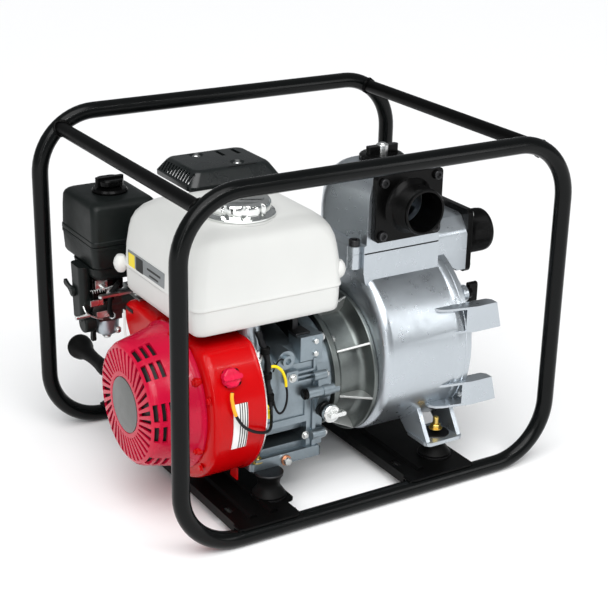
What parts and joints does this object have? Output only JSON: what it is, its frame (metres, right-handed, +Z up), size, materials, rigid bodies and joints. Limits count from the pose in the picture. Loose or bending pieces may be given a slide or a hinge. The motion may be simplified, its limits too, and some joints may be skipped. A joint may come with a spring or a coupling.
{
  "type": "gas engine trash pump",
  "caption": "Petrol-driven centrifugal trash pump in a black tube roll cage, with recoil start, white tank, cast volute pump and side and front pipe ports.",
  "frame": {"origin": "centre of the footprint at the bottom of the cage tubes", "axes": "+X from the recoil starter to the pump inlet, +Y away from the discharge port side, +Z up"},
  "size_m": [0.584, 0.431, 0.4722],
  "materials": {
    "black_paint": "gloss black paint",
    "black_plastic": "satin moulded black plastic",
    "rubber": "moulded rubber",
    "red": "gloss red paint",
    "red_knob": "red moulded plastic",
    "tank_white": "gloss off-white paint",
    "cast_aluminium": "die-cast, silver lacquer",
    "cast_iron": "cast, machined faces",
    "steel": "machined steel",
    "chrome": "bright chrome plate",
    "zinc": "yellow zinc plate",
    "filter_paper": "pleated paper and foam",
    "rope": "braided nylon",
    "wire": "insulated wire"
  },
  "bodies": {
    "frame": {"near_loop": "black_paint", "far_loop": "black_paint", "engine_cross_bar": "black_paint", "pump_cross_bar": "black_paint", "engine_cross_member": "black_paint", "pump_cross_member": "black_paint", "engine_mount_near": "rubber", "engine_mount_far": "rubber", "pump_mount_near": "rubber", "pump_mount_far": "rubber", "crankcase": "cast_aluminium", "crankcase_side_cover": "cast_aluminium", "cylinder_barrel": "cast_aluminium", "cylinder_head": "cast_aluminium", "valve_cover": "cast_aluminium", "spark_plug": "steel", "blower_housing": "red", "recoil_cover": "red", "fuel_tank": "tank_white", "air_cleaner_case": "black_plastic", "air_cleaner_cover": "black_plastic", "air_filter_element": "filter_paper", "intake_elbow": "black_plastic", "carburetor": "cast_aluminium", "float_bowl": "cast_aluminium", "throttle_bracket": "steel", "switch_wire": "wire", "oil_drain_bolt": "zinc", "muffler": "steel", "muffler_guard": "black_plastic", "pump_adapter": "cast_aluminium", "pump_body": "cast_aluminium", "inner_volute": "cast_iron", "shaft_seal": "rubber", "pump_cover": "cast_aluminium", "discharge_casting": "cast_aluminium", "discharge_flange": "black_plastic", "suction_flange": "black_plastic"},
    "rotor": {"crankshaft": "steel", "flywheel": "cast_iron", "impeller": "cast_iron"},
    "starter_pull": {"recoil_grip": "black_plastic", "starter_rope": "rope"},
    "starter_reel": {"starter_reel": "black_plastic"},
    "piston": {"piston": "cast_aluminium"},
    "fuel_cap": {"fuel_cap": "chrome"},
    "air_cleaner_nut": {"air_cleaner_nut": "black_plastic"},
    "oil_filler_cap": {"oil_filler_cap": "cast_aluminium"},
    "priming_cap": {"priming_cap": "black_plastic"},
    "pump_drain_plug": {"pump_drain_plug": "steel"},
    "choke_lever": {"choke_lever": "black_plastic"},
    "fuel_valve_lever": {"fuel_valve_lever": "black_plastic"},
    "throttle_lever": {"throttle_lever": "steel"},
    "engine_switch": {"engine_switch_knob": "red_knob"},
    "suction_flap": {"suction_flap": "rubber"},
    "clamp_knob_upper_near": {"clamp_knob_upper_near": "black_plastic"},
    "clamp_knob_upper_far": {"clamp_knob_upper_far": "black_plastic"},
    "clamp_knob_lower_near": {"clamp_knob_lower_near": "black_plastic"},
    "clamp_knob_lower_far": {"clamp_knob_lower_far": "black_plastic"}
  },
  "joints": [
    {"name": "crank_spin", "type": "hinge", "parent": "frame", "child": "rotor", "pos_m": [0, -0.072, 0.1584], "axis": [1, 0, 0], "continuous": true},
    {"name": "starter_pull_slide", "type": "slide", "parent": "frame", "child": "starter_pull", "axis": [0, 1, 0], "range_m": [0, 0.6]},
    {"name": "starter_reel_turn", "type": "hinge", "parent": "frame", "child": "starter_reel", "pos_m": [-0.249, -0.072, 0.1584], "axis": [1, 0, 0], "range_deg": [0, 1300]},
    {"name": "piston_slide", "type": "slide", "parent": "frame", "child": "piston", "axis": [0, -0.9063, -0.4226], "range_m": [0, 0.054]},
    {"name": "fuel_cap_turn", "type": "hinge", "parent": "frame", "child": "fuel_cap", "pos_m": [-0.134, -0.078, 0.3864], "axis": [0, 0, 1], "range_deg": [0, 90]},
    {"name": "air_cleaner_nut_turn", "type": "hinge", "parent": "frame", "child": "air_cleaner_nut", "pos_m": [-0.212, 0.133, 0.3684], "axis": [0, 0, 1], "continuous": true},
    {"name": "oil_cap_turn", "type": "hinge", "parent": "frame", "child": "oil_filler_cap", "pos_m": [-0.044, -0.159, 0.127], "axis": [0, -1, 0], "continuous": true},
    {"name": "priming_cap_turn", "type": "hinge", "parent": "frame", "child": "priming_cap", "pos_m": [0.087, -0.065, 0.423], "axis": [0, 0, 1], "continuous": true},
    {"name": "pump_drain_turn", "type": "hinge", "parent": "frame", "child": "pump_drain_plug", "pos_m": [0.198, -0.06, 0.112], "axis": [1, 0, 0], "continuous": true},
    {"name": "choke_lever_turn", "type": "hinge", "parent": "frame", "child": "choke_lever", "pos_m": [-0.272, 0.124, 0.24], "axis": [1, 0, 0], "range_deg": [0, 50]},
    {"name": "fuel_valve_turn", "type": "hinge", "parent": "frame", "child": "fuel_valve_lever", "pos_m": [-0.245, 0.12, 0.185], "axis": [1, 0, 0], "range_deg": [0, 90]},
    {"name": "throttle_lever_turn", "type": "hinge", "parent": "frame", "child": "throttle_lever", "pos_m": [-0.205, 0.068, 0.2463], "axis": [0, 0, 1], "range_deg": [0, 40]},
    {"name": "engine_switch_turn", "type": "hinge", "parent": "frame", "child": "engine_switch", "pos_m": [-0.196, -0.17022, 0.21284], "axis": [0, -0.8746, 0.4848], "range_deg": [0, 45]},
    {"name": "suction_flap_swing", "type": "hinge", "parent": "frame", "child": "suction_flap", "pos_m": [0.1902, -0.072, 0.334], "axis": [0, 1, 0], "range_deg": [0, 55]},
    {"name": "clamp_knob_upper_near_turn", "type": "hinge", "parent": "frame", "child": "clamp_knob_upper_near", "pos_m": [0.1683, -0.15264, 0.25021], "axis": [1, 0, 0], "continuous": true},
    {"name": "clamp_knob_upper_far_turn", "type": "hinge", "parent": "frame", "child": "clamp_knob_upper_far", "pos_m": [0.1683, 0.03264, 0.25021], "axis": [1, 0, 0], "continuous": true},
    {"name": "clamp_knob_lower_near_turn", "type": "hinge", "parent": "frame", "child": "clamp_knob_lower_near", "pos_m": [0.1683, -0.15264, 0.11059], "axis": [1, 0, 0], "continuous": true},
    {"name": "clamp_knob_lower_far_turn", "type": "hinge", "parent": "frame", "child": "clamp_knob_lower_far", "pos_m": [0.1683, 0.03264, 0.11059], "axis": [1, 0, 0], "continuous": true}
  ],
  "couplings": [
    {"joint": "starter_reel_turn", "follows": "starter_pull_slide", "rad_per_m": 35.714}
  ]
}
